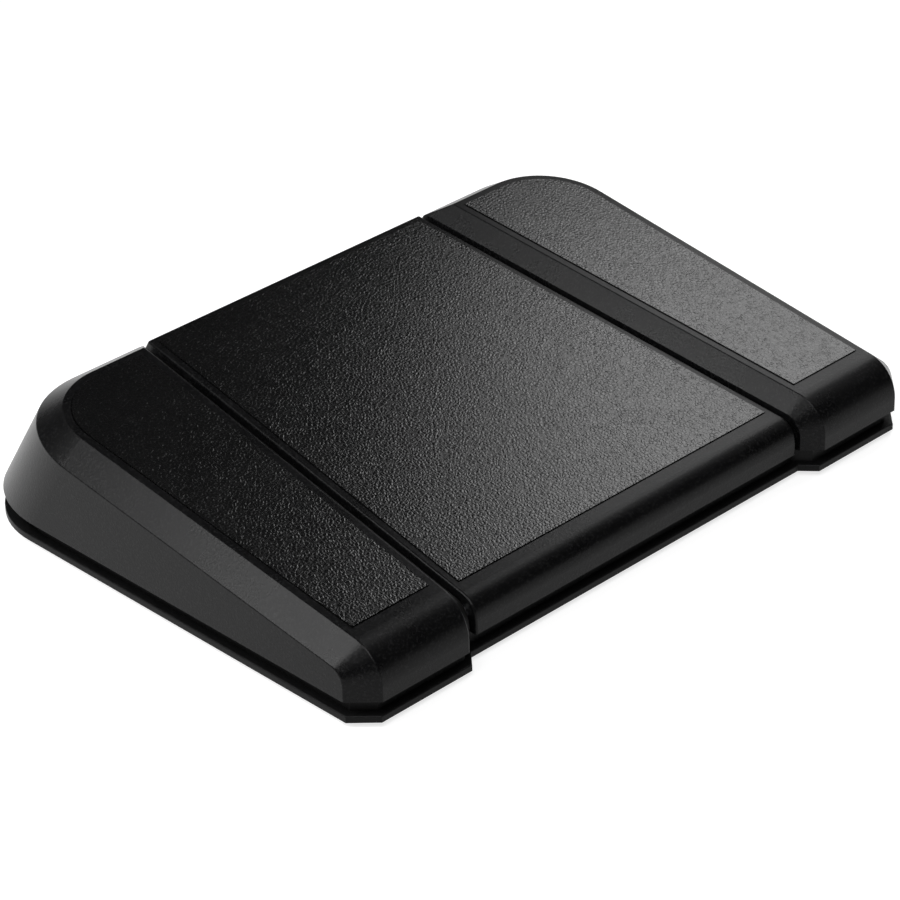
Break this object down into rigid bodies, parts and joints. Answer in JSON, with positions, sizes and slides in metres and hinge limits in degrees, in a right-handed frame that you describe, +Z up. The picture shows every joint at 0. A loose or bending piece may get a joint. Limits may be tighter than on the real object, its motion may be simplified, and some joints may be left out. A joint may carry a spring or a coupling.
{
  "type": "usb foot pedal switch",
  "caption": "Low desk foot switch with side pedals flanking a lower centre pedal, each hinged at the front over a microswitch, on a flanged base with a cable inlet.",
  "frame": {"origin": "on the floor, under the middle of the outline", "axes": "+X across the pedals, +Y towards the raised back with the cable inlet, +Z up"},
  "size_m": [0.243, 0.184, 0.0472],
  "materials": {
    "pedal_plastic": "black moulded plastic, satin",
    "grained_tread": "dark charcoal, fine leather grain",
    "tray_plastic": "black moulded plastic",
    "plate_steel": "black powder coat",
    "foot_rubber": "black rubber",
    "screw_steel": "blackened steel",
    "bright_steel": "bright steel",
    "spring_steel": "spring steel",
    "bush_plastic": "natural acetal",
    "switch_plastic": "dark moulded plastic",
    "contact_brass": "tinned brass",
    "board_laminate": "green solder mask",
    "plug_plastic": "cream plastic",
    "chip_plastic": "black moulded epoxy",
    "lead_red": "red wire insulation"
  },
  "bodies": {
    "base": {"base_plate": "plate_steel", "base_tray": "tray_plastic", "base_screws": "screw_steel", "rubber_feet": "foot_rubber", "hinge_shaft": "bright_steel", "shaft_clips": "spring_steel", "shaft_caps": "tray_plastic", "shaft_cap_screws": "screw_steel", "stop_bumpers": "foot_rubber", "left_return_spring": "spring_steel", "centre_return_springs": "spring_steel", "right_return_spring": "spring_steel", "left_switch_leads": "lead_red", "centre_switch_leads": "lead_red", "right_switch_leads": "lead_red", "switch_screws": "bright_steel", "switch_terminals": "contact_brass", "control_board": "board_laminate", "board_screws": "bright_steel", "board_plugs": "plug_plastic", "microcontroller": "chip_plastic", "usb_receptacle": "bright_steel", "usb_tongue": "chip_plastic", "left_switch_body": "switch_plastic", "centre_switch_body": "switch_plastic", "right_switch_body": "switch_plastic"},
    "left_pedal": {"left_pedal_housing": "pedal_plastic", "left_tread_pad": "grained_tread", "left_hinge_bushes": "bush_plastic"},
    "left_lever": {"left_switch_lever": "spring_steel"},
    "left_plunger": {"left_switch_plunger": "bush_plastic"},
    "centre_pedal": {"centre_pedal_housing": "pedal_plastic", "centre_tread_pad": "grained_tread", "centre_hinge_bushes": "bush_plastic"},
    "centre_lever": {"centre_switch_lever": "spring_steel"},
    "centre_plunger": {"centre_switch_plunger": "bush_plastic"},
    "right_pedal": {"right_pedal_housing": "pedal_plastic", "right_tread_pad": "grained_tread", "right_hinge_bushes": "bush_plastic"},
    "right_lever": {"right_switch_lever": "spring_steel"},
    "right_plunger": {"right_switch_plunger": "bush_plastic"}
  },
  "joints": [
    {"name": "left_pedal_hinge", "type": "hinge", "parent": "base", "child": "left_pedal", "pos_m": [0, -0.0795, 0.0136], "axis": [-1, 0, 0], "range_deg": [0, 1.4], "stiffness_Nm_per_rad": 20, "springref_deg": -2.86, "deforming": ["left_return_spring"]},
    {"name": "centre_pedal_hinge", "type": "hinge", "parent": "base", "child": "centre_pedal", "pos_m": [0, -0.0795, 0.0136], "axis": [-1, 0, 0], "range_deg": [0, 1.4], "stiffness_Nm_per_rad": 30, "springref_deg": -2.86, "deforming": ["centre_return_springs"]},
    {"name": "right_pedal_hinge", "type": "hinge", "parent": "base", "child": "right_pedal", "pos_m": [0, -0.0795, 0.0136], "axis": [-1, 0, 0], "range_deg": [0, 1.4], "stiffness_Nm_per_rad": 20, "springref_deg": -2.86, "deforming": ["right_return_spring"]},
    {"name": "left_lever_hinge", "type": "hinge", "parent": "base", "child": "left_lever", "pos_m": [-0.094, -0.0375, 0.0217], "axis": [-1, 0, 0], "range_deg": [0, 5.8]},
    {"name": "left_plunger_slide", "type": "slide", "parent": "base", "child": "left_plunger", "axis": [0, 0, -1], "range_m": [0, 0.00062]},
    {"name": "centre_lever_hinge", "type": "hinge", "parent": "base", "child": "centre_lever", "pos_m": [0, -0.0375, 0.0217], "axis": [-1, 0, 0], "range_deg": [0, 5.8]},
    {"name": "centre_plunger_slide", "type": "slide", "parent": "base", "child": "centre_plunger", "axis": [0, 0, -1], "range_m": [0, 0.00062]},
    {"name": "right_lever_hinge", "type": "hinge", "parent": "base", "child": "right_lever", "pos_m": [0.094, -0.0375, 0.0217], "axis": [-1, 0, 0], "range_deg": [0, 5.8]},
    {"name": "right_plunger_slide", "type": "slide", "parent": "base", "child": "right_plunger", "axis": [0, 0, -1], "range_m": [0, 0.00062]}
  ],
  "couplings": [
    {"joint": "left_lever_hinge", "follows": "left_pedal_hinge", "ratio": 4},
    {"joint": "left_plunger_slide", "follows": "left_pedal_hinge", "m_per_rad": 0.024},
    {"joint": "centre_lever_hinge", "follows": "centre_pedal_hinge", "ratio": 4},
    {"joint": "centre_plunger_slide", "follows": "centre_pedal_hinge", "m_per_rad": 0.024},
    {"joint": "right_lever_hinge", "follows": "right_pedal_hinge", "ratio": 4},
    {"joint": "right_plunger_slide", "follows": "right_pedal_hinge", "m_per_rad": 0.024}
  ]
}
